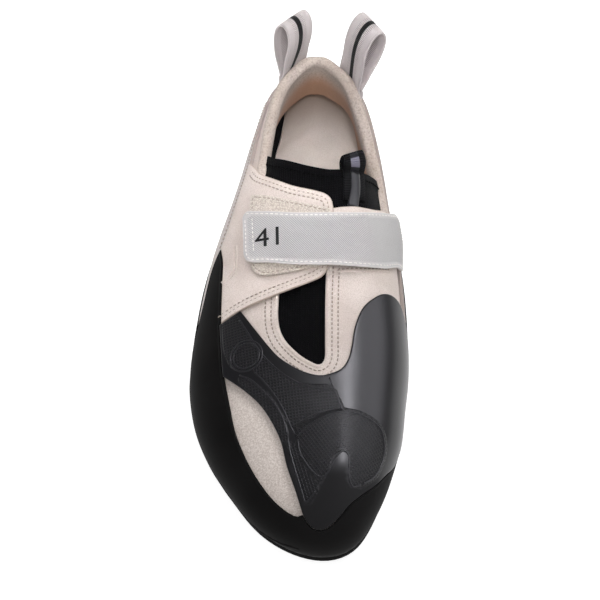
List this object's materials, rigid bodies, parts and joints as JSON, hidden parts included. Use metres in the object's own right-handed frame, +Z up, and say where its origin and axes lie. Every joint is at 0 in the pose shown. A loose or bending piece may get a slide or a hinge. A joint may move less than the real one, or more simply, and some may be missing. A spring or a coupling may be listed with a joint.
{
  "type": "climbing shoe",
  "caption": "Right-foot climbing shoe standing empty, with a suede upper, rubber rand and toe patch, hook-and-loop strap, knit tongue and heel pull loops.",
  "frame": {"origin": "middle of the sole's flat spot under the forefoot, on the floor", "axes": "+Z up, the toe towards -Y, the heel towards +Y, the inner (big toe) side towards +X"},
  "size_m": [0.0976, 0.2385, 0.1006],
  "materials": {
    "cream_suede": "brushed suede microfibre, matt, with a short nap",
    "black_knit": "fine stretch knit",
    "black_webbing": "narrow woven webbing with a satin stripe",
    "black_rubber": "smooth climbing rubber, satin",
    "charcoal_rubber": "moulded rubber with fine grid panels, satin",
    "grey_coated_fabric": "light grey coated fabric, soft sheen",
    "grey_twill": "light grey twill with stitched edges",
    "beige_loop_pile": "loop pile of a hook-and-loop closure",
    "grey_webbing": "ribbed webbing with plain selvedges and black stripes",
    "black_board": "stiff fibre board",
    "cream_footbed": "fine brushed footbed fabric"
  },
  "bodies": {
    "root": {"upper": "cream_suede", "flap": "cream_suede", "gusset": "black_knit", "tongue_tab": "black_webbing", "rand": "black_rubber", "outsole": "black_rubber", "toe_patch": "charcoal_rubber", "heel_sling": "grey_coated_fabric", "strap": "grey_twill", "loop_pad": "beige_loop_pile", "pull_loop_lateral": "grey_webbing", "pull_loop_medial": "grey_webbing", "midsole": "black_board", "insole": "cream_footbed"}
  },
  "joints": []
}
